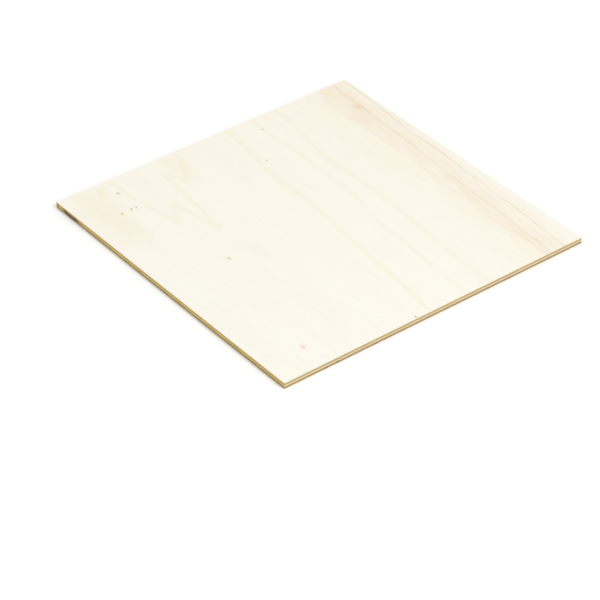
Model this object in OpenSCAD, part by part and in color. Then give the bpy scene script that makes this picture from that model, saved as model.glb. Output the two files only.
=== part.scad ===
// Square craft sheet of three-ply plywood, sawn to size and lightly sanded.
// Two thin outer veneers have their grain along X. The core veneer between them
// has its grain along Y, so the sheet stays flat.
// The origin is the centre of the underside, and Z points up through the plies.
// All sizes are in millimetres.

/* [Sheet] */
// Length along the grain of the face veneer
sheet_length = 200; // [50:1:600]
// Width across the grain of the face veneer
sheet_width = 200; // [50:1:600]

/* [Veneers] */
// Thickness of the back veneer, the lowest ply
back_thickness = 1.05; // [0.5:0.05:2]
// Thickness of the core veneer, the cross-grained middle ply
core_thickness = 1.3; // [0.5:0.05:4]
// Thickness of the face veneer, the top ply
face_thickness = 1.05; // [0.5:0.05:2]

/* [Edges] */
// Radius that sanding leaves on the arrises of both faces
arris_radius = 0.1; // [0.05:0.05:0.4]

/* [Hidden] */

// Sides of a full circle in the arris rounding
$fn = 48;
// How far a cutting shape runs past the sheet on each side
overrun = 5;

sheet_thickness = back_thickness + core_thickness + face_thickness;
core_level = back_thickness;
face_level = back_thickness + core_thickness;

face_colour = [0.96, 0.93, 0.86];
core_colour = [0.86, 0.77, 0.60];
back_colour = [0.94, 0.90, 0.81];

// Cross section of the whole sheet: a rectangle with its four arrises rounded.
module sanded_section(span) {
    inner_span = span - 2 * arris_radius;
    inner_height = sheet_thickness - 2 * arris_radius;
    translate([-inner_span / 2, 0]) square([inner_span, sheet_thickness]);
    translate([-span / 2, arris_radius]) square([span, inner_height]);
    for (side = [-1, 1], level = [0, 1])
        translate([side * inner_span / 2, arris_radius + level * inner_height])
            circle(r = arris_radius);
}

// Outer form of the glued sheet after trimming and sanding.
module trimmed_sheet() {
    intersection() {
        rotate([90, 0, 0])
            linear_extrude(height = sheet_width + 2 * overrun, center = true)
                sanded_section(sheet_length);
        rotate([90, 0, 90])
            linear_extrude(height = sheet_length + 2 * overrun, center = true)
                sanded_section(sheet_width);
    }
}

// One ply: the layer of the trimmed sheet between two glue lines.
module ply(level, thickness) {
    blank_length = sheet_length + 2 * overrun;
    blank_width = sheet_width + 2 * overrun;
    intersection() {
        trimmed_sheet();
        translate([-blank_length / 2, -blank_width / 2, level])
            cube([blank_length, blank_width, thickness]);
    }
}

module face_veneer() {
    color(face_colour) ply(face_level, face_thickness);
}

module core_veneer() {
    color(core_colour) ply(core_level, core_thickness);
}

module back_veneer() {
    color(back_colour) ply(0, back_thickness);
}

face_veneer();
core_veneer();
back_veneer();
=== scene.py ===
import math

import bmesh
import bpy
from mathutils import Matrix, Vector, noise
from mathutils.geometry import delaunay_2d_cdt


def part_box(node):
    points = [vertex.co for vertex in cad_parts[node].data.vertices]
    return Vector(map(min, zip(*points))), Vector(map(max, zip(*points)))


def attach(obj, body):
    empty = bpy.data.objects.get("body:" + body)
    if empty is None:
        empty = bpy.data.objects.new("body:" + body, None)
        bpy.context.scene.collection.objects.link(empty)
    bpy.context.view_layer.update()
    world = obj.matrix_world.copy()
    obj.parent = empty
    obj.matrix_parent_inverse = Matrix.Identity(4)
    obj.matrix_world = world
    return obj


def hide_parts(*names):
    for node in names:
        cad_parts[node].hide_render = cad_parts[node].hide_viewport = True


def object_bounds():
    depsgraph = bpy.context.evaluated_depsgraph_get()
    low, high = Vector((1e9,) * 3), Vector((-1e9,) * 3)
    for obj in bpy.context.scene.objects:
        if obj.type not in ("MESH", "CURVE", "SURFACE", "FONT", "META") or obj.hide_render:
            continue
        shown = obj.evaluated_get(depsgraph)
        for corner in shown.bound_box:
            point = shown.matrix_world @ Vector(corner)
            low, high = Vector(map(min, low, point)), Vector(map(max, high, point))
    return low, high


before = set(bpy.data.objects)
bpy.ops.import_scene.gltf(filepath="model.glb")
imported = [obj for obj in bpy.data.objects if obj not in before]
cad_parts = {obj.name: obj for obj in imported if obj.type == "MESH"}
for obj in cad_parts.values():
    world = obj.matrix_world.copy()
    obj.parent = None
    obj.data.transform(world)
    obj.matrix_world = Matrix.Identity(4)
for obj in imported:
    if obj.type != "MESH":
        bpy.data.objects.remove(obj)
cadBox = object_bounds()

mm = 0.001
halfLength = cadBox[1].x  # along the grain of the face
halfWidth = cadBox[1].y  # across it
print("frame loaded, half length", halfLength / mm, "mm, half width", halfWidth / mm, "mm")


# colours and nodes

def tone(red, green, blue):
    # screen levels, 0 to 255, to the linear colour that a node takes
    levels = [level / 255 for level in (red, green, blue)]
    return [v / 12.92 if v < 0.04045 else ((v + 0.055) / 1.055) ** 2.4 for v in levels] + [1.0]


def wire(tree, source, target):
    if isinstance(source, bpy.types.NodeSocket):
        tree.links.new(source, target)
    else:
        target.default_value = source


def calc(tree, operation, *sources):
    node = tree.nodes.new("ShaderNodeMath")
    node.operation = operation
    for source, target in zip(sources, node.inputs):
        wire(tree, source, target)
    return node.outputs[0]


def vectorCalc(tree, operation, *sources):
    node = tree.nodes.new("ShaderNodeVectorMath")
    node.operation = operation
    for source, target in zip(sources, node.inputs):
        wire(tree, source, target)
    return node.outputs["Value" if operation in ("LENGTH", "DOT_PRODUCT") else "Vector"]


def stretch(tree, vector, factor):
    node = tree.nodes.new("ShaderNodeVectorMath")
    node.operation = "SCALE"
    wire(tree, vector, node.inputs[0])
    wire(tree, factor, node.inputs["Scale"])
    return node.outputs["Vector"]


def fade(tree, value, start, end, first=0.0, last=1.0):
    # eases from first to last while the value goes from start to end
    node = tree.nodes.new("ShaderNodeMapRange")
    node.interpolation_type = "SMOOTHSTEP"
    labels = ("Value", "From Min", "From Max", "To Min", "To Max")
    for label, source in zip(labels, (value, start, end, first, last)):
        wire(tree, source, node.inputs[label])
    return node.outputs["Result"]


def split(tree, vector):
    node = tree.nodes.new("ShaderNodeSeparateXYZ")
    wire(tree, vector, node.inputs[0])
    return node.outputs


def join(tree, *parts):
    node = tree.nodes.new("ShaderNodeCombineXYZ")
    for source, target in zip(parts, node.inputs):
        wire(tree, source, target)
    return node.outputs[0]


def cloud(tree, vector, detail=2.0):
    node = tree.nodes.new("ShaderNodeTexNoise")
    wire(tree, vector, node.inputs["Vector"])
    node.inputs["Scale"].default_value = 1.0
    node.inputs["Detail"].default_value = detail
    return node.outputs[0]


grainClouds = {  # length and breadth of the blotches in millimetres, and the levels a mask eases between
    "feather": {"size": (45, 0.6), "detail": 2.0},
    "waver": {"size": (22, 5), "detail": 3.0},
    "patchy": {"size": (16, 3), "detail": 2.0, "levels": (0.2, 0.7)},
    "sandedDrift": {"size": (70, 14), "detail": 3.0, "levels": (0.35, 0.7)},
    "sawnDrift": {"size": (9, 2), "detail": 3.0, "levels": (0.35, 0.75)},
}


def grainCloud(tree, point, kind):
    # blotches that are drawn out along X
    length, breadth = grainClouds[kind]["size"]
    scaled = vectorCalc(tree, "MULTIPLY", point, (1 / length, 1 / breadth, 1.0))
    return cloud(tree, scaled, grainClouds[kind]["detail"])


def grainMask(tree, point, kind, first=0.0, last=1.0):
    return fade(tree, grainCloud(tree, point, kind), *grainClouds[kind]["levels"], first, last)


def swing(tree, value, reach):
    # a cloud's 0 to 1 becomes a shift of half the reach either way
    return calc(tree, "MULTIPLY_ADD", value, reach, -reach / 2)


def lay(tree, base, shade, mask, strength):
    # tints the base with a screen colour where the mask is
    node = tree.nodes.new("ShaderNodeMix")
    node.data_type = "RGBA"
    factor = calc(tree, "MULTIPLY", mask, strength)
    for index, source in ((0, factor), (6, base), (7, tone(*shade))):  # the sockets for colours
        wire(tree, source, node.inputs[index])
    return node.outputs[2]


def newGroup(name, inputs, outputs):
    group = bpy.data.node_groups.new(name, "ShaderNodeTree")
    for label, value in inputs.items():
        kind = "NodeSocketVector" if isinstance(value, tuple) else "NodeSocketFloat"
        group.interface.new_socket(label, in_out="INPUT", socket_type=kind).default_value = value
    for label in outputs:
        group.interface.new_socket(label, in_out="OUTPUT", socket_type="NodeSocketFloat")
    given = group.nodes.new("NodeGroupInput").outputs
    result = group.nodes.new("NodeGroupOutput").inputs
    return group, given, result


def place(tree, group, values):
    node = tree.nodes.new("ShaderNodeGroup")
    node.node_tree = group
    for label, value in values.items():
        wire(tree, value, node.inputs[label])
    return node.outputs


# effects that several finishes share, all measured in millimetres

effectForm = {
    "fineFibre": 3.7,  # times as fine as the broad fibres
    "pore": (14.0, 5.5, 5.5),  # times as short and as fine as they are
    "streakLevels": (0.3, 0.7),  # of the noise, from none to full
    "fleckLevels": (0.52, 0.75),
    "poreLevels": (0.62, 0.78),
    "patchLumps": 1.6,  # lumps of the rim to a patch's reach
    "patchRagged": 0.9,  # reaches over which the rim strays
    "patchRim": (0.15, 1.0),  # reaches from the middle, from full to none
    "eyeStretch": (0.8, 1.0, 0.0),  # along the grain, across it and up: below 1 is longer
    "eyeRim": (0.2, 0.7),  # knot sizes, from full to none
    "haloStretch": (0.45, 1.0, 0.0),
    "haloRim": (0.3, 1.3),
    "scoreStretch": 0.25,  # slows the unevenness of tooth marks along an edge
    "scoreUneven": 14.0,  # radians by which they stray
}


def makeFibreGrain():
    # long thin fibres, with X of the vector along the grain
    group, given, result = newGroup(
        "fibreGrain", {"Vector": (0.0, 0.0, 0.0), "Length": 30.0, "Breadth": 0.5},
        ["Streak", "Fleck", "Pore", "Height"])
    along = calc(group, "DIVIDE", 1.0, given["Length"])
    across = calc(group, "DIVIDE", 1.0, given["Breadth"])
    fibres = vectorCalc(group, "MULTIPLY", given["Vector"], join(group, along, across, across))
    broad = cloud(group, fibres, 3.0)
    fine = cloud(group, stretch(group, fibres, effectForm["fineFibre"]))
    short = cloud(group, vectorCalc(group, "MULTIPLY", fibres, effectForm["pore"]), 1.0)
    pore = fade(group, short, *effectForm["poreLevels"])
    wire(group, fade(group, broad, *effectForm["streakLevels"]), result["Streak"])
    wire(group, fade(group, fine, *effectForm["fleckLevels"]), result["Fleck"])
    wire(group, pore, result["Pore"])
    wire(group, calc(group, "SUBTRACT", calc(group, "ADD", broad, fine), pore), result["Height"])
    return group


def makeGrowthRing():
    # a line that fades over one width on its far side and another on its near side
    group, given, result = newGroup(
        "growthRing", {"Offset": 0.0, "Far Fade": 3.0, "Near Fade": 1.0}, ["Mask"])
    far = fade(group, given["Offset"], 0.0, given["Far Fade"], 1.0, 0.0)
    behind = calc(group, "MULTIPLY", given["Offset"], -1.0)
    near = fade(group, behind, 0.0, given["Near Fade"], 1.0, 0.0)
    wire(group, calc(group, "MULTIPLY", far, near), result["Mask"])
    return group


def makeGrainStroke():
    # a soft straight stroke between two points
    group, given, result = newGroup(
        "grainStroke",
        {"Vector": (0.0, 0.0, 0.0), "Start": (0.0, 0.0, 0.0), "End": (1.0, 0.0, 0.0), "Width": 1.0},
        ["Mask"])
    reach = vectorCalc(group, "SUBTRACT", given["Vector"], given["Start"])
    course = vectorCalc(group, "SUBTRACT", given["End"], given["Start"])
    ahead = vectorCalc(group, "DOT_PRODUCT", reach, course)
    whole = vectorCalc(group, "DOT_PRODUCT", course, course)
    share = calc(group, "MINIMUM", calc(group, "DIVIDE", ahead, whole), 1.0)
    foot = stretch(group, course, calc(group, "MAXIMUM", share, 0.0))
    gap = vectorCalc(group, "LENGTH", vectorCalc(group, "SUBTRACT", reach, foot))
    wire(group, fade(group, gap, 0.0, given["Width"], 1.0, 0.0), result["Mask"])
    return group


def makeSoftPatch():
    # an oval patch with a ragged, fading rim
    group, given, result = newGroup(
        "softPatch", {"Vector": (0.0, 0.0, 0.0), "Place": (0.0, 0.0, 0.0), "Reach": (5.0, 5.0, 5.0)},
        ["Mask"])
    away = vectorCalc(group, "SUBTRACT", given["Vector"], given["Place"])
    away = vectorCalc(group, "DIVIDE", away, given["Reach"])
    lumps = cloud(group, stretch(group, away, effectForm["patchLumps"]), 3.0)
    ragged = swing(group, lumps, effectForm["patchRagged"])
    rim = calc(group, "ADD", vectorCalc(group, "LENGTH", away), ragged)
    wire(group, fade(group, rim, *effectForm["patchRim"], 1.0, 0.0), result["Mask"])
    return group


def makePinKnot():
    # a small bud knot: a dark eye, and a warm halo, both drawn out along the grain
    group, given, result = newGroup(
        "pinKnot", {"Vector": (0.0, 0.0, 0.0), "Place": (0.0, 0.0, 0.0), "Size": 1.2}, ["Eye", "Halo"])
    away = vectorCalc(group, "SUBTRACT", given["Vector"], given["Place"])
    away = vectorCalc(group, "DIVIDE", away, join(group, given["Size"], given["Size"], given["Size"]))
    eyeGap = vectorCalc(group, "LENGTH", vectorCalc(group, "MULTIPLY", away, effectForm["eyeStretch"]))
    haloGap = vectorCalc(group, "LENGTH", vectorCalc(group, "MULTIPLY", away, effectForm["haloStretch"]))
    wire(group, fade(group, eyeGap, *effectForm["eyeRim"], 1.0, 0.0), result["Eye"])
    wire(group, fade(group, haloGap, *effectForm["haloRim"], 1.0, 0.0), result["Halo"])
    return group


def makeSawScore():
    # the slanted marks that saw teeth leave along an edge
    group, given, result = newGroup(
        "sawScore", {"Run": 0.0, "Rise": 0.0, "Pitch": 1.3, "Slant": 0.4}, ["Mark"])
    slanted = calc(group, "MULTIPLY_ADD", given["Rise"], given["Slant"], given["Run"])
    turns = calc(group, "DIVIDE", slanted, given["Pitch"])
    slow = calc(group, "MULTIPLY", given["Run"], effectForm["scoreStretch"])
    uneven = cloud(group, join(group, slow, given["Rise"], 0.0))
    stray = calc(group, "MULTIPLY", uneven, effectForm["scoreUneven"])
    phase = calc(group, "MULTIPLY_ADD", turns, math.tau, stray)
    wire(group, fade(group, calc(group, "SINE", phase), -1.0, 1.0), result["Mark"])
    return group


def makeGlueLine():
    # the thin dark line where two plies meet
    group, given, result = newGroup(
        "glueLine", {"Rise": 0.0, "Level": 1.0, "Reach": 0.1}, ["Mask"])
    gap = calc(group, "ABSOLUTE", calc(group, "SUBTRACT", given["Rise"], given["Level"]))
    wire(group, fade(group, gap, 0.0, given["Reach"], 1.0, 0.0), result["Mask"])
    return group


fibreGrain = makeFibreGrain()
growthRing = makeGrowthRing()
grainStroke = makeGrainStroke()
softPatch = makeSoftPatch()
pinKnot = makePinKnot()
sawScore = makeSawScore()
glueLine = makeGlueLine()
print("effects made")


# finishes

def newFinish(name):
    material = bpy.data.materials.new(name)
    material.use_nodes = True
    tree = material.node_tree
    coordinates = tree.nodes.new("ShaderNodeTexCoord")
    point = stretch(tree, coordinates.outputs["Object"], 1 / mm)
    return material, tree, tree.nodes["Principled BSDF"], point


def finishSurface(tree, shader, colour, grain, wood):
    wire(tree, colour, shader.inputs["Base Color"])
    rough = calc(tree, "MULTIPLY_ADD", grain["Streak"], wood["roughnessRange"], wood["roughness"])
    wire(tree, rough, shader.inputs["Roughness"])
    bump = tree.nodes.new("ShaderNodeBump")
    bump.inputs["Strength"].default_value = 1.0
    bump.inputs["Distance"].default_value = wood["relief"] * mm
    wire(tree, grain["Height"], bump.inputs["Height"])
    wire(tree, bump.outputs["Normal"], shader.inputs["Normal"])


def layFibres(tree, vector, wood):
    # the ground colour with its fibres, flecks and pores
    grain = place(tree, fibreGrain,
                  {"Vector": vector, "Length": wood["fibreLength"], "Breadth": wood["fibreBreadth"]})
    colour = lay(tree, tone(*wood["ground"]), wood["fibre"], grain["Streak"], wood["fibreStrength"])
    colour = lay(tree, colour, wood["fleck"], grain["Fleck"], wood["fleckStrength"])
    colour = lay(tree, colour, wood["fleck"], grain["Pore"], wood["poreStrength"])
    return colour, grain


def ringCourse(tree, along, course):
    # where a ring line lies across the sheet, from a few points along it
    node = tree.nodes.new("ShaderNodeFloatCurve")
    curve = node.mapping.curves[0]
    shares = [((x * mm / halfLength + 1) / 2, (y * mm / halfWidth + 1) / 2) for x, y in course]
    curve.points[0].location = shares[0]
    curve.points[1].location = shares[-1]
    for share in shares[1:-1]:
        curve.points.new(*share)
    node.mapping.update()
    wire(tree, calc(tree, "MULTIPLY_ADD", along, mm / halfLength / 2, 0.5), node.inputs["Value"])
    return calc(tree, "MULTIPLY_ADD", node.outputs[0], 2 * halfWidth / mm, -halfWidth / mm)


def layFigure(tree, colour, point, look):
    # growth rings and flames, wavering across the grain and feathered along it
    along, across, _ = split(tree, point)
    along = calc(tree, "ADD", along, swing(tree, grainCloud(tree, point, "feather"), look["feather"]))
    across = calc(tree, "ADD", across, swing(tree, grainCloud(tree, point, "waver"), look["waver"]))
    patchy = grainMask(tree, point, "patchy", *look["patchiness"])
    for ring in look["rings"]:
        offset = calc(tree, "SUBTRACT", across, ringCourse(tree, along, ring["course"]))
        line = place(tree, growthRing,
                     {"Offset": offset, "Far Fade": ring["farFade"], "Near Fade": ring["nearFade"]})
        mask = calc(tree, "MULTIPLY", line["Mask"], patchy)
        colour = lay(tree, colour, ring["tint"], mask, ring["strength"])
    figured = join(tree, along, across, 0.0)
    flame = 0.0
    for course in look["flames"]:
        for start, end in zip(course, course[1:]):
            stroke = place(tree, grainStroke, {"Vector": figured, "Start": (*start, 0.0),
                                               "End": (*end, 0.0), "Width": look["flameWidth"]})
            flame = calc(tree, "MAXIMUM", flame, stroke["Mask"])
    flame = calc(tree, "MULTIPLY", flame, patchy)
    return lay(tree, colour, look["flameTint"], flame, look["flameStrength"])


def layMarks(tree, colour, point, look):
    # discoloured patches and pin knots
    along, across, _ = split(tree, point)
    flat = join(tree, along, across, 0.0)
    for patch in look["patches"]:
        spot = place(tree, softPatch, {"Vector": flat, "Place": (*patch["place"], 0.0),
                                       "Reach": (*patch["reach"], 1.0)})
        colour = lay(tree, colour, patch["tint"], spot["Mask"], patch["strength"])
    for x, y, size, depth in look["knots"]:
        knot = place(tree, pinKnot, {"Vector": flat, "Place": (x, y, 0.0), "Size": size})
        colour = lay(tree, colour, look["halo"], knot["Halo"], look["haloStrength"] * depth)
        colour = lay(tree, colour, look["eye"], knot["Eye"], look["eyeStrength"] * depth)
    return colour


def sandedFinish(name, look):
    material, tree, shader, point = newFinish(name)
    wood = look["sanded"]
    colour, grain = layFibres(tree, point, wood)
    drift = grainMask(tree, point, "sandedDrift")
    colour = lay(tree, colour, wood["drift"], drift, wood["driftStrength"])
    colour = layFigure(tree, colour, point, look)
    colour = layMarks(tree, colour, point, look)
    finishSurface(tree, shader, colour, grain, wood)
    return material


def sawnFinish(name, look, wood, runAxis):
    # the sawn edge of one ply, on the sides that run along X or along Y
    material, tree, shader, point = newFinish(name)
    x, y, rise = split(tree, point)
    run, beyond = (x, y) if runAxis == "x" else (y, x)
    level = join(tree, run, rise, calc(tree, "MULTIPLY", beyond, sawCut["throughScale"]))
    colour, grain = layFibres(tree, level, wood)
    drift = grainMask(tree, level, "sawnDrift")
    colour = lay(tree, colour, wood["drift"], drift, wood["driftStrength"])
    score = place(tree, sawScore, {"Run": run, "Rise": rise, "Pitch": sawCut["scorePitch"] / mm,
                                   "Slant": sawCut["scoreSlant"]})
    colour = lay(tree, colour, wood["drift"], score["Mark"], sawCut["scoreTint"])
    for jointLevel in glue["levels"]:
        seam = place(tree, glueLine, {"Rise": rise, "Level": jointLevel / mm, "Reach": glue["reach"] / mm})
        colour = lay(tree, colour, glue["tint"], seam["Mask"], glue["strength"])
    for stain in look["stains"]:
        spot = place(tree, softPatch,
                     {"Vector": point, "Place": stain["place"], "Reach": stain["reach"]})
        colour = lay(tree, colour, stain["tint"], spot["Mask"], stain["strength"])
    finishSurface(tree, shader, colour, grain, wood)
    return material


# the sawn outline and the veneers cut to it

sawCut = {
    "pointSpacing": 0.3 * mm,  # along the edges
    "cornerRadius": 0.2 * mm,
    "cornerSteps": 4,
    "sideRows": 6,
    "arrisRows": 6,
    "arrisRadius": 0.1 * mm,
    "arrisChange": 0.25,  # share by which the radius varies along an edge
    "arrisLength": 12 * mm,  # over which it does so
    "chipStart": 0.3,  # higher for fewer chips
    "chipRagged": 0.4,  # share by which a chip's depth varies
    "sandedTurn": math.radians(50),  # past this the arris looks like the sanded face
    "sharpTurn": math.radians(50),  # folds past this are shaded sharp
    "waver": 0.05 * mm,  # slow wandering of the blade
    "waverLength": 40 * mm,
    "scoreDepth": 0.012 * mm,
    "scorePitch": 1.3 * mm,
    "scoreSlant": 0.4,
    "scoreDrift": 2.0,  # pitches by which the tooth marks stray
    "driftLength": 4 * mm,  # over which they do so
    "scoreTint": 0.2,
    "tearStep": 5.7,  # keeps the torn fibres unlike on the four sides
    "throughScale": 0.5,  # how fast the sawn grain changes from one side of the sheet to the other
}

noiseSeeds = {  # step from side to side and offset, so that no two sides or effects are alike
    "waver": (7.3, 0.5),
    "drift": (3.1, 2.5),
    "chip": (11.1, 4.5),
    "ragged": (2.3, 8.5),
    "arris": (9.7, 1.5),
}

glue = {
    "levels": [corner.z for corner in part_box("core_veneer")],
    "reach": 0.09 * mm,  # over which a glue line fades, up and down
    "tint": (128, 92, 52),
    "strength": 0.6,
}

faceMesh = {
    "sandedBands": [(0.55 * mm, 0.5 * mm), (1.2 * mm, 1.0 * mm), (2.6 * mm, 2.0 * mm)],  # inset, spacing
    "sandedSpacing": 2.5 * mm,
    "gluedBands": [(0.7 * mm, 0.8 * mm), (2.2 * mm, 2.0 * mm), (6 * mm, 5 * mm)],
    "gluedSpacing": 8 * mm,
    "bandGap": 0.7,  # spacings between the last band and the rows in the middle
    "rowGap": 0.8,  # least gap at the end of a row, as a share of its margin
    "stagger": 0.25,  # spacings that the rows are shifted by, to and fro
    "knotRings": [(0.2, 6), (0.4, 10), (0.6, 14), (0.85, 16), (1.2, 18)],  # radius in knot sizes, points
    "knotGap": 1.6,  # knot sizes that the rows keep clear of
    "rimGap": 1.1,  # first insets that a knot's points keep clear of
    "hollowReach": 0.7,  # knot sizes over which a knot is sunk
    "mergeGap": 1e-8,
}

mapLayout = {  # how a ply is unwrapped, for the baking of its finish
    "name": "OFBake",
    "margin": 0.01,  # at both ends of each part
    "gap": 0.005,  # between parts
    "sandedShare": 0.78,  # of the map's height
    "gluedShare": 0.025,  # small, as a glued face never shows
    "rimPad": 1.5 * mm,  # room round a sanded face, where its arris is drawn out
}


def sideFrame(side):
    # half the length of a side, its distance from the middle, and the turn that brings it there
    halfRun, reach = (halfLength, halfWidth) if side % 2 == 0 else (halfWidth, halfLength)
    return halfRun, reach, Matrix.Rotation(side * math.pi / 2, 2)


def sheetOutline():
    # points round the sheet, counter-clockwise: place, outward direction, side, distance along it
    outline = []
    radius = sawCut["cornerRadius"]
    for side in range(4):
        halfRun, reach, turn = sideFrame(side)
        straight = halfRun - radius
        steps = round(2 * straight / sawCut["pointSpacing"])
        local = [(2 * straight * i / steps - straight, -reach, -math.pi / 2) for i in range(steps + 1)]
        for i in range(1, sawCut["cornerSteps"]):
            angle = -math.pi / 2 * (1 - i / sawCut["cornerSteps"])
            run = straight + radius * math.cos(angle)
            local.append((run, radius - reach + radius * math.sin(angle), angle))
        for run, out, angle in local:
            outward = Vector((math.cos(angle), math.sin(angle)))
            outline.append((turn @ Vector((run, out)), turn @ outward, side, run))
    return outline


def isEndGrain(side, look):
    return (side % 2 == 1) == (look["grainAxis"] == "x")


def sideWobble(effect, run, length, side):
    step, offset = noiseSeeds[effect]
    return noise.noise(Vector((run / length, side * step, offset)))


def cutDepth(run, rise, side, wood):
    # how far the sawn surface lies inside the true edge
    depth = sawCut["waver"] * (0.5 + 0.5 * sideWobble("waver", run, sawCut["waverLength"], side))
    phase = (run + sawCut["scoreSlant"] * rise) / sawCut["scorePitch"]
    phase += sawCut["scoreDrift"] * sideWobble("drift", run, sawCut["driftLength"], side)
    depth += sawCut["scoreDepth"] * (0.5 + 0.5 * math.sin(math.tau * phase))
    spot = Vector((run / wood["tearLength"], rise / wood["tearHeight"], side * sawCut["tearStep"]))
    return depth + wood["tearDepth"] * max(0.0, noise.noise(spot))


def localArris(run, side, wood):
    # the sanded radius here, wider where fibres broke away
    chipped = max(0.0, sideWobble("chip", run, wood["chipSpacing"], side) - sawCut["chipStart"])
    ragged = 1 - sawCut["chipRagged"] * (1 - sideWobble("ragged", run, wood["chipLength"], side))
    even = 1 + sawCut["arrisChange"] * sideWobble("arris", run, sawCut["arrisLength"], side)
    return sawCut["arrisRadius"] * even + wood["chipDepth"] * chipped * ragged


def edgeRows(look):
    # rows up an edge: a share of its height, or an angle round the arris of the sanded side
    upright = [("side", i / sawCut["sideRows"]) for i in range(sawCut["sideRows"] + 1)]
    arris = [("arris", math.pi / 2 * (i + 1) / sawCut["arrisRows"]) for i in range(sawCut["arrisRows"])]
    if look["sandedSide"] == "top":
        return upright + arris
    if look["sandedSide"] == "underside":
        return arris[::-1] + upright
    return upright


def edgePoint(row, station, ply):
    kind, value = row
    spot, outward, side, run = station
    look = ply["look"]
    wood = look["endGrain"] if isEndGrain(side, look) else look["longGrain"]
    radius = localArris(run, side, wood)
    bottom = ply["low"] + (radius if look["sandedSide"] == "underside" else 0.0)
    top = ply["high"] - (radius if look["sandedSide"] == "top" else 0.0)
    inset = 0.0
    rise = bottom + value * (top - bottom)
    if kind == "arris":
        inset = radius * (1 - math.cos(value))
        bend = radius * math.sin(value)
        rise = top + bend if look["sandedSide"] == "top" else bottom - bend
    depth = look["recess"] + cutDepth(run, rise, side, wood)
    x = spot.x * (1 - inset / halfLength) - outward.x * depth
    y = spot.y * (1 - inset / halfWidth) - outward.y * depth
    return x, y, rise


def mapBands(look):
    # the lower and upper limit of each part of a ply on its map, one above another
    shares = {}
    for side in ("underside", "top"):
        shares[side] = mapLayout["sandedShare" if side == look["sandedSide"] else "gluedShare"]
    strip = (1 - sum(shares.values())) / (4 * look["edgeCuts"])
    shares.update({(side, cut): strip for side in range(4) for cut in range(look["edgeCuts"])})
    bands = {}
    low = mapLayout["gap"] / 2
    for part, share in shares.items():
        bands[part] = (low, low + share - mapLayout["gap"])
        low += share
    return bands


def mapSpot(band, across, up):
    # shares of a part's breadth and height, to a place on the map
    margin = mapLayout["margin"]
    return margin + across * (1 - 2 * margin), band[0] + up * (band[1] - band[0])


def faceSpot(x, y, side, ply):
    along = x / (halfLength + mapLayout["rimPad"]) * (-1 if side == "top" else 1)
    across = y / (halfWidth + mapLayout["rimPad"])
    return mapSpot(ply["bands"][side], (1 + across) / 2, (1 + along) / 2)


def arrisSpot(shape, corner, ply):
    # drawn out past the face, so that the sanded colour fills the rim of the map
    row, station = divmod(corner, len(ply["outline"]))
    reach = mapLayout["rimPad"] * math.cos(ply["rows"][row][1])
    outward = ply["outline"][station][1]
    x, y, _ = shape["verts"][corner]
    return faceSpot(x + outward.x * reach, y + outward.y * reach, ply["look"]["sandedSide"], ply)


def edgeSpots(shape, corners, ply):
    # the four corners of a face of the sawn edge
    outline, cuts = ply["outline"], ply["look"]["edgeCuts"]
    stations = [outline[corner % len(outline)] for corner in corners]
    side = stations[0][2]
    halfRun = sideFrame(side)[0]
    runs = [run if owner == side else halfRun for _, _, owner, run in stations]
    shares = [(1 + run / halfRun) / 2 * cuts for run in runs]
    cut = min(int(shares[0]), cuts - 1)
    rises = [(shape["verts"][corner][2] - ply["low"]) / (ply["high"] - ply["low"]) for corner in corners]
    return [mapSpot(ply["bands"][side, cut], share - cut, rise) for share, rise in zip(shares, rises)]


def addFace(shape, corners, finish, spots):
    shape["faces"].append(corners)
    shape["finishes"].append(finish)
    shape["spots"] += spots


def buildEdges(shape, ply):
    outline, rows = ply["outline"], ply["rows"]
    count = len(outline)
    for row in rows:
        shape["verts"] += [edgePoint(row, station, ply) for station in outline]
    for lower, pair in enumerate(zip(rows, rows[1:])):
        turned = max(value if kind == "arris" else 0.0 for kind, value in pair)
        for i, station in enumerate(outline):
            start, after = lower * count, (i + 1) % count
            corners = (start + i, start + after, start + count + after, start + count + i)
            if turned > sawCut["sandedTurn"]:
                addFace(shape, corners, "face", [arrisSpot(shape, corner, ply) for corner in corners])
            else:
                finish = "end" if isEndGrain(station[2], ply["look"]) else "long"
                addFace(shape, corners, finish, edgeSpots(shape, corners, ply))


def bandPoints(bands):
    # rows of points that follow the rim, each at its inset and spacing
    points = []
    for inset, spacing in bands:
        for side in range(4):
            halfRun, reach, turn = sideFrame(side)
            straight = halfRun - inset
            steps = round(2 * straight / spacing)
            for i in range(steps):
                points.append(turn @ Vector((2 * straight * i / steps - straight, inset - reach)))
    return points


def knotGap(x, y, knot):
    # distance from the middle of a knot, in knot sizes
    return math.hypot(x / mm - knot[0], y / mm - knot[1]) / knot[2]


def middlePoints(margin, spacing, knots):
    # staggered rows over the middle of a face, kept off the knots
    points = []
    rows = round(2 * (halfWidth - margin) / spacing)
    columns = round(2 * (halfLength - margin) / spacing)
    for row in range(rows + 1):
        shift = faceMesh["stagger"] * (1 if row % 2 else -1)
        y = 2 * (halfWidth - margin) * row / rows - (halfWidth - margin)
        for column in range(columns + 1):
            x = (column + shift) * spacing - (halfLength - margin)
            clear = all(knotGap(x, y, knot) > faceMesh["knotGap"] for knot in knots)
            if clear and abs(x) < halfLength - margin * faceMesh["rowGap"]:
                points.append(Vector((x, y)))
    return points


def knotPoints(knots, inset):
    points = []
    for x, y, size, _ in knots:
        centre = Vector((x, y)) * mm
        points.append(centre)
        for ring, (share, count) in enumerate(faceMesh["knotRings"]):
            for i in range(count):
                angle = math.tau * (i + 0.5 * (ring % 2)) / count
                point = centre + Vector((math.cos(angle), math.sin(angle))) * share * size * mm
                beyond = max(abs(point.x) - halfLength, abs(point.y) - halfWidth)
                if beyond < -faceMesh["rimGap"] * inset:
                    points.append(point)
    return points


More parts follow.
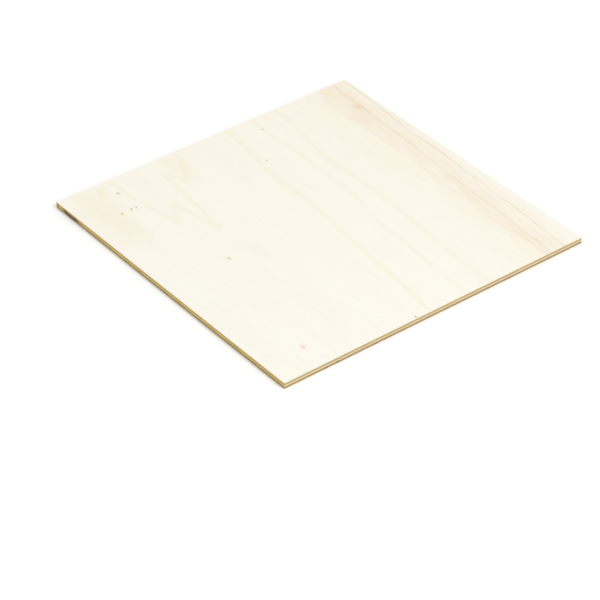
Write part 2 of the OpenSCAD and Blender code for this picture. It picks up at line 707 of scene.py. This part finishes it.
def knotHollow(spot, knots):
    # 1 in the middle of a pin knot and 0 clear of it
    hollow = 0.0
    for knot in knots:
        gap = knotGap(spot.x, spot.y, knot) / faceMesh["hollowReach"]
        if gap < 1:
            hollow = max(hollow, (1 - gap * gap) ** 2)
    return hollow


def closeFace(shape, rim, side, level, ply):
    # spans a rim with triangles, and sinks the knots of a sanded face
    look = ply["look"]
    sanded = side == look["sandedSide"]
    bands = faceMesh["sandedBands" if sanded else "gluedBands"]
    spacing = faceMesh["sandedSpacing" if sanded else "gluedSpacing"]
    knots, sink = (look["knots"], look["knotDepth"]) if sanded else ([], 0.0)
    inward = -sink if side == "top" else sink
    margin = bands[-1][0] + faceMesh["bandGap"] * spacing
    points = bandPoints(bands) + middlePoints(margin, spacing, knots) + knotPoints(knots, bands[0][0])
    flat = [Vector(shape["verts"][i][:2]) for i in rim] + points
    loop = [(i, (i + 1) % len(rim)) for i in range(len(rim))]
    filled = delaunay_2d_cdt(flat, loop, [], 1, faceMesh["mergeGap"])  # 1 keeps what is inside the rim
    spots, _, triangles, origins, _, _ = filled
    index = []
    for spot, origin in zip(spots, origins):
        if origin and origin[0] < len(rim):
            index.append(rim[origin[0]])
        else:
            index.append(len(shape["verts"]))
            shape["verts"].append((spot.x, spot.y, level + inward * knotHollow(spot, knots)))
    for triangle in triangles:
        corners = [index[i] for i in triangle]
        places = [faceSpot(*shape["verts"][corner][:2], side, ply) for corner in corners]
        addFace(shape, corners, "face" if sanded else "long", places)


def makePiece(name, shape, materials):
    mesh = bpy.data.meshes.new(name)
    mesh.from_pydata(shape["verts"], [], shape["faces"])
    for material in materials.values():
        mesh.materials.append(material)
    slots = {finish: index for index, finish in enumerate(materials)}
    mesh.polygons.foreach_set("material_index", [slots[finish] for finish in shape["finishes"]])
    layout = mesh.uv_layers.new(name=mapLayout["name"])
    layout.data.foreach_set("uv", [value for spot in shape["spots"] for value in spot])
    mesh.validate()
    solid = bmesh.new()
    solid.from_mesh(mesh)
    bmesh.ops.recalc_face_normals(solid, faces=solid.faces)
    solid.to_mesh(mesh)
    solid.free()
    mesh.shade_smooth()
    mesh.set_sharp_from_angle(angle=sawCut["sharpTurn"])
    piece = bpy.data.objects.new(name, mesh)
    bpy.context.scene.collection.objects.link(piece)
    return piece


def makeVeneer(name, node, look):
    low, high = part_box(node)
    ply = {"look": look, "low": low.z, "high": high.z, "outline": sheetOutline(),
           "rows": edgeRows(look), "bands": mapBands(look)}
    shape = {"verts": [], "faces": [], "finishes": [], "spots": []}
    buildEdges(shape, ply)
    count = len(ply["outline"])
    last = len(shape["verts"]) - count
    closeFace(shape, range(last, last + count), "top", high.z, ply)
    closeFace(shape, range(count), "underside", low.z, ply)

    longAxis, crossAxis = ("x", "y") if look["grainAxis"] == "x" else ("y", "x")
    materials = {
        "long": sawnFinish(name + "LongGrain", look, look["longGrain"], longAxis),
        "end": sawnFinish(name + "EndGrain", look, look["endGrain"], crossAxis),
    }
    if look["sandedSide"] != "none":
        materials["face"] = sandedFinish(name + "Sanded", look)
    piece = makePiece(name, shape, materials)
    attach(piece, "root")
    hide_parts(node)
    print(name, "made,", len(piece.data.polygons), "faces")


# sawn wood, along its grain and across it: fibres and relief are in millimetres

longGrain = {
    "fibreLength": 14.0, "fibreBreadth": 0.16, "fibreStrength": 0.5,
    "fleckStrength": 0.3, "poreStrength": 0.3, "driftStrength": 0.35,
    "roughness": 0.7, "roughnessRange": 0.1, "relief": 0.02,
    "tearLength": 5 * mm, "tearHeight": 0.2 * mm, "tearDepth": 0.03 * mm,
    "chipSpacing": 22 * mm, "chipLength": 3 * mm, "chipDepth": 0.12 * mm,
}
endGrain = {
    "fibreLength": 0.35, "fibreBreadth": 0.3, "fibreStrength": 0.55,
    "fleckStrength": 0.4, "poreStrength": 0.3, "driftStrength": 0.35,
    "roughness": 0.75, "roughnessRange": 0.12, "relief": 0.04,
    "tearLength": 0.7 * mm, "tearHeight": 0.4 * mm, "tearDepth": 0.05 * mm,
    "chipSpacing": 7 * mm, "chipLength": 0.9 * mm, "chipDepth": 0.3 * mm,
}


def edgeWood(kind, ground, fibre, dark):
    return {**kind, "ground": ground, "fibre": fibre, "fleck": dark, "drift": dark}


edgeStains = [  # the dark stain near the left corner, and small marks on the right edge
    {"place": (-86.5, -100, 1.3), "reach": (11, 3, 2.2), "tint": (110, 84, 44), "strength": 0.7},
    {"place": (-91.5, -100, 2), "reach": (3, 3, 1.2), "tint": (76, 56, 40), "strength": 0.75},
    {"place": (-89, -100, 1.4), "reach": (4.5, 3, 1.2), "tint": (84, 62, 40), "strength": 0.75},
    {"place": (-88, -100, 0.4), "reach": (5.5, 3, 1), "tint": (96, 78, 28), "strength": 0.7},
    {"place": (-84.5, -100, 1.5), "reach": (4, 3, 1.4), "tint": (108, 78, 48), "strength": 0.6},
    {"place": (-81.5, -100, 1.7), "reach": (3, 3, 1.4), "tint": (78, 56, 22), "strength": 0.85},
    {"place": (-78.5, -100, 1.2), "reach": (4, 3, 1.2), "tint": (146, 114, 68), "strength": 0.5},
    {"place": (-99.5, -100, 2), "reach": (3, 3, 2.4), "tint": (136, 124, 78), "strength": 0.6},
    {"place": (100, -66, 0.4), "reach": (3, 1.6, 0.8), "tint": (92, 60, 34), "strength": 0.75},
    {"place": (100, -74, 0.3), "reach": (3, 2.2, 0.7), "tint": (120, 84, 46), "strength": 0.6},
    {"place": (100, -41, 0.3), "reach": (3, 1.8, 0.7), "tint": (116, 82, 48), "strength": 0.6},
    {"place": (100, -32, 0.4), "reach": (3, 2.4, 0.8), "tint": (128, 92, 54), "strength": 0.5},
    {"place": (100, -14, 0.4), "reach": (3, 1.2, 0.7), "tint": (120, 84, 50), "strength": 0.5},
]

farRing = [(-100, 92), (-87, 90.5), (-75, 90), (-42, 88), (-16, 86.5), (3, 85), (12, 84), (35, 83),
           (80, 80), (100, 78)]  # the strongest line, near the far edge

faceVeneer = {
    "sandedSide": "top",
    "grainAxis": "x",
    "edgeCuts": 2,  # lengths that each edge is cut into on the map
    "recess": 0.0,  # of the sawn edges, behind the outline
    "sanded": {
        "ground": (253, 250, 240),
        "fibre": (246, 239, 221), "fibreLength": 38.0, "fibreBreadth": 0.55, "fibreStrength": 0.28,
        "fleck": (238, 226, 198), "fleckStrength": 0.3, "poreStrength": 0.35,
        "drift": (249, 241, 222), "driftStrength": 0.2,
        "roughness": 0.56, "roughnessRange": 0.12, "relief": 0.012,
    },
    "waver": 1.6,  # millimetres over which the figure wanders across the grain
    "feather": 10.0,  # and over which it frays along the grain
    "patchiness": (0.45, 1.3),  # weakest and strongest along a line
    "rings": [
        {"course": farRing, "farFade": 12, "nearFade": 60, "tint": (246, 233, 204), "strength": 0.2},
        {"course": farRing, "farFade": 30, "nearFade": 13, "tint": (240, 221, 186), "strength": 0.22},
        {"course": farRing, "farFade": 0.9, "nearFade": 1.8, "tint": (206, 174, 124), "strength": 0.16},
        {"course": [(-100, 99), (-88, 98.5), (-72, 98), (-60, 96.5), (-45, 95.5), (-10, 94.5), (15, 93),
                    (58, 91), (100, 87.5)],
         "farFade": 0.8, "nearFade": 0.8, "tint": (192, 170, 134), "strength": 0.25},
        {"course": [(-100, 95.5), (-40, 91.5), (20, 88.5), (100, 82.5)],
         "farFade": 0.6, "nearFade": 0.8, "tint": (214, 186, 146), "strength": 0.08},
        {"course": [(-100, 87), (-40, 84.5), (30, 80), (100, 75)],
         "farFade": 0.8, "nearFade": 1.2, "tint": (216, 184, 140), "strength": 0.08},
        {"course": [(-100, 81.5), (-92, 78.5), (-84, 76), (-74, 75.5), (-55, 77), (-20, 76.5), (8, 75.5),
                    (40, 74), (58, 73.5), (72, 74.5), (100, 75)],
         "farFade": 8, "nearFade": 0.9, "tint": (236, 212, 168), "strength": 0.12},
        {"course": [(-100, 48.5), (-77, 46.5), (-55, 42.5), (-42, 40.5), (-17, 41.5), (17, 40.5),
                    (42, 38.5), (67, 36), (100, 35)],
         "farFade": 3.4, "nearFade": 1.6, "tint": (244, 225, 168), "strength": 0.13},
        {"course": [(-100, 32.5), (-87, 31), (-67, 31.5), (-30, 31.5), (-13, 31), (3, 28.5), (17, 25.5),
                    (42, 23.5), (67, 21.5), (83, 20), (100, 19.5)],
         "farFade": 2.8, "nearFade": 1.8, "tint": (244, 225, 168), "strength": 0.13},
        {"course": [(-100, 14), (-75, 11), (-58, 8.5), (-42, 7), (-13, 7), (17, 3.5), (38, 1), (67, -1.5),
                    (83, -3.5), (100, -6)],
         "farFade": 3.6, "nearFade": 1.5, "tint": (244, 225, 168), "strength": 0.15},
    ],
    "flames": [
        [(-100, -19.5), (-70, -33), (-88, -39), (-24, -44.5), (-60, -52), (-42.5, -60), (-67, -64),
         (-100, -67)],
        [(-100, -69), (-87, -81)],
    ],
    "flameWidth": 2.4,
    "flameTint": (243, 224, 176),
    "flameStrength": 0.155,
    "patches": [
        {"place": (-100, 20), "reach": (150, 140), "tint": (246, 236, 206), "strength": 0.12},
        {"place": (-72, -85), "reach": (56, 17), "tint": (243, 228, 190), "strength": 0.25},
        {"place": (-92, -76), "reach": (7, 5), "tint": (244, 216, 160), "strength": 0.13},
        {"place": (-75, 85), "reach": (60, 12), "tint": (238, 216, 178), "strength": 0.2},
        {"place": (-73, 87.5), "reach": (4, 2.5), "tint": (224, 190, 112), "strength": 0.38},
        {"place": (-62, 82), "reach": (10, 6), "tint": (238, 204, 162), "strength": 0.14},
        {"place": (-71, 90), "reach": (6, 1.6), "tint": (200, 180, 150), "strength": 0.16},
        {"place": (-40, 87.5), "reach": (6, 0.9), "tint": (196, 180, 148), "strength": 0.24},
        {"place": (77, 80), "reach": (24, 2), "tint": (206, 174, 124), "strength": 0.1},
        {"place": (-85, -28), "reach": (26, 10), "tint": (246, 230, 196), "strength": 0.2},
        {"place": (0, -43), "reach": (18, 9), "tint": (250, 237, 218), "strength": 0.25},
        {"place": (82.5, -74.5), "reach": (2.6, 1.9), "tint": (226, 182, 108), "strength": 0.42},
    ],
    "knots": [  # place, size and depth of colour
        (-87.5, 31, 1.0, 0.7), (-61.5, 13.5, 0.9, 0.6), (-1, -58, 1.2, 0.8), (-86, -69, 1.2, 1.0),
        (-69, -69, 1.0, 0.8), (-69.5, -72, 1.1, 0.9), (-69, -78.5, 1.1, 0.9), (82.5, -74.5, 1.4, 0.2),
        (98.5, -14, 1.1, 1.0),
    ],
    "knotDepth": 0.1 * mm,
    "halo": (232, 208, 134),
    "haloStrength": 0.32,
    "eye": (148, 126, 24),
    "eyeStrength": 0.6,
    "longGrain": edgeWood(longGrain, (216, 194, 118), (189, 162, 80), (182, 150, 71)),
    "endGrain": edgeWood(endGrain, (212, 185, 126), (182, 149, 88), (184, 145, 82)),
    "stains": edgeStains,
}

coreVeneer = {
    "sandedSide": "none",
    "grainAxis": "y",
    "edgeCuts": 4,
    "recess": 0.04 * mm,
    "longGrain": edgeWood(longGrain, (231, 220, 188), (210, 193, 152), (202, 174, 116)),
    "endGrain": {
        **edgeWood(endGrain, (255, 229, 150), (234, 200, 118), (206, 166, 88)),
        "driftStrength": 0.55,
    },
    "stains": edgeStains,
}

backVeneer = {
    **faceVeneer,
    "sandedSide": "underside",
    "sanded": {**faceVeneer["sanded"], "ground": (248, 242, 228)},
    "rings": [
        {"course": [(-100, -92), (-55, -91), (5, -88), (50, -86.5), (100, -84)],
         "farFade": 16, "nearFade": 1.4, "tint": (236, 214, 172), "strength": 0.26},
        {"course": [(-100, -63), (-60, -62.5), (-15, -60), (35, -58.5), (70, -56.5), (100, -56)],
         "farFade": 5, "nearFade": 1.8, "tint": (236, 212, 160), "strength": 0.24},
        {"course": [(-100, -39), (-65, -37.5), (-20, -36.5), (25, -33.5), (75, -32), (100, -30.5)],
         "farFade": 4, "nearFade": 1.4, "tint": (236, 212, 160), "strength": 0.22},
        {"course": [(-100, -10), (-70, -9.5), (-25, -7), (20, -6), (60, -3), (100, -2)],
         "farFade": 6, "nearFade": 2, "tint": (238, 216, 166), "strength": 0.24},
        {"course": [(-100, 18), (-50, 20.5), (0, 21.5), (45, 24), (100, 26)],
         "farFade": 3, "nearFade": 1.2, "tint": (236, 212, 160), "strength": 0.2},
        {"course": [(-100, 72), (-45, 73.5), (10, 76), (55, 77), (100, 79.5)],
         "farFade": 9, "nearFade": 1.2, "tint": (236, 212, 166), "strength": 0.24},
        {"course": [(-100, 84), (-50, 86), (0, 87), (50, 89.5), (100, 91)],
         "farFade": 0.8, "nearFade": 1, "tint": (210, 178, 132), "strength": 0.2},
    ],
    "flames": [
        [(100, 32), (64, 37), (80, 39.5), (24, 44), (58, 48), (12, 53.5), (48, 58), (36, 61.5), (100, 67)],
    ],
    "patches": [
        {"place": (40, -80), "reach": (60, 20), "tint": (240, 224, 184), "strength": 0.3},
        {"place": (70, 50), "reach": (50, 24), "tint": (244, 230, 196), "strength": 0.25},
    ],
    "knots": [(44, -41, 1.3, 0.8), (-35, 52, 1.1, 0.6), (-70, -78, 1.2, 0.9)],
    # the back ply's sawn edges are coloured darker than the face ply's: partly a browner veneer, partly
    # painted shade of the dark line where the sheet meets the floor
    "longGrain": edgeWood(longGrain, (187, 163, 89), (160, 133, 59), (152, 121, 52)),
    "endGrain": edgeWood(endGrain, (190, 160, 107), (164, 129, 78), (160, 122, 70)),
}

makeVeneer("faceVeneer", "face_veneer", faceVeneer)
makeVeneer("coreVeneer", "core_veneer", coreVeneer)
makeVeneer("backVeneer", "back_veneer", backVeneer)


# floor, light and camera

studio = {
    "floorSize": 8.0,
    "floorGap": 0.35 * mm,  # a thin sheet is never quite flat
    "floorColour": 0.8,  # as it lights the sheet
    "floorSeen": 1.0,  # as the camera sees it, with the lift, so that it is white
    "floorLift": (0.05, 0.25),  # near the sheet, and far from it
    "floorFade": (0.25, 1.2),  # distances from the middle between which the lift grows
    "skyStrength": 0.62,
    "sunTurn": 8,  # degrees from +X towards +Y
    "sunLift": 58,
    "sunSpread": 36,
    "sunStrength": 1.07,
    "sidePlace": (0.95, 0.15, 0.75),  # a small lamp that brightens the right of the sheet
    "sideSize": 0.5,
    "sidePower": 2.15,
}


def seenRays(tree):
    # 1 for what the camera sees, straight or in a gloss or glass
    rays = tree.nodes.new("ShaderNodeLightPath").outputs
    mirrored = calc(tree, "MAXIMUM", rays["Is Glossy Ray"], rays["Is Transmission Ray"])
    return calc(tree, "MAXIMUM", rays["Is Camera Ray"], mirrored)


def makeFloor():
    size = studio["floorSize"] / 2
    rise = -studio["floorGap"]
    mesh = bpy.data.meshes.new("floor")
    corners = [(-size, -size, rise), (size, -size, rise), (size, size, rise), (-size, size, rise)]
    mesh.from_pydata(corners, [], [(0, 1, 2, 3)])
    floor = bpy.data.objects.new("floor", mesh)
    bpy.context.scene.collection.objects.link(floor)
    material = bpy.data.materials.new("paleFloor")
    material.use_nodes = True
    tree = material.node_tree
    tree.nodes.clear()
    seen = seenRays(tree)
    matt = tree.nodes.new("ShaderNodeBsdfDiffuse")
    whiter = studio["floorSeen"] - studio["floorColour"]
    wire(tree, calc(tree, "MULTIPLY_ADD", seen, whiter, studio["floorColour"]), matt.inputs["Color"])
    away = vectorCalc(tree, "LENGTH", tree.nodes.new("ShaderNodeTexCoord").outputs["Object"])
    lift = fade(tree, away, *studio["floorFade"], *studio["floorLift"])
    glow = tree.nodes.new("ShaderNodeEmission")
    wire(tree, calc(tree, "MULTIPLY", seen, lift), glow.inputs["Strength"])
    both = tree.nodes.new("ShaderNodeAddShader")
    wire(tree, matt.outputs[0], both.inputs[0])
    wire(tree, glow.outputs[0], both.inputs[1])
    output = tree.nodes.new("ShaderNodeOutputMaterial")
    wire(tree, both.outputs[0], output.inputs["Surface"])
    mesh.materials.append(material)


def makeSky():
    world = bpy.data.worlds.new("sky")
    world.use_nodes = True
    bpy.context.scene.world = world
    tree = world.node_tree
    background = tree.nodes["Background"]
    background.inputs["Color"].default_value = (1, 1, 1, 1)
    level = studio["skyStrength"]
    strength = calc(tree, "MULTIPLY_ADD", seenRays(tree), 1 - level, level)
    wire(tree, strength, background.inputs["Strength"])


def makeLamps():
    sun = bpy.data.lights.new("sun", "SUN")
    sun.energy = studio["sunStrength"]
    sun.angle = math.radians(studio["sunSpread"])
    turn = math.radians(studio["sunTurn"])
    lift = math.radians(studio["sunLift"])
    sunward = Vector((math.cos(turn) * math.cos(lift), math.sin(turn) * math.cos(lift), math.sin(lift)))
    side = bpy.data.lights.new("sideLamp", "AREA")
    side.size = studio["sideSize"]
    side.energy = studio["sidePower"]
    for lamp, location in ((sun, sunward), (side, Vector(studio["sidePlace"]))):
        light = bpy.data.objects.new(lamp.name, lamp)
        light.location = location
        light.rotation_euler = location.to_track_quat("Z", "Y").to_euler()
        bpy.context.scene.collection.objects.link(light)


cameraView = {
    "azimuth": 51.73,  # degrees round from the front
    "elevation": 36.8,
    "distance": 1387 * mm,
    "aim": (50.73 * mm, -51.39 * mm),  # point of the face at the middle of the picture
    "focalLength": 162.12,  # millimetres, as the sensor's width is
    "sensorWidth": 36.0,
    "nearest": 10 * mm,
}


def makeCamera():
    lens = bpy.data.cameras.new("camera")
    lens.lens = cameraView["focalLength"]
    lens.sensor_width = cameraView["sensorWidth"]
    lens.clip_start = cameraView["nearest"]
    camera = bpy.data.objects.new("camera", lens)
    turn = math.radians(cameraView["azimuth"])
    lift = math.radians(cameraView["elevation"])
    back = Vector((math.sin(turn) * math.cos(lift), -math.cos(turn) * math.cos(lift), math.sin(lift)))
    camera.location = Vector((*cameraView["aim"], cadBox[1].z)) + back * cameraView["distance"]
    camera.rotation_euler = back.to_track_quat("Z", "Y").to_euler()
    bpy.context.scene.collection.objects.link(camera)
    bpy.context.scene.camera = camera


makeFloor()
makeSky()
makeLamps()
makeCamera()
bpy.context.scene.view_settings.view_transform = "Standard"
print("floor, light and camera placed")
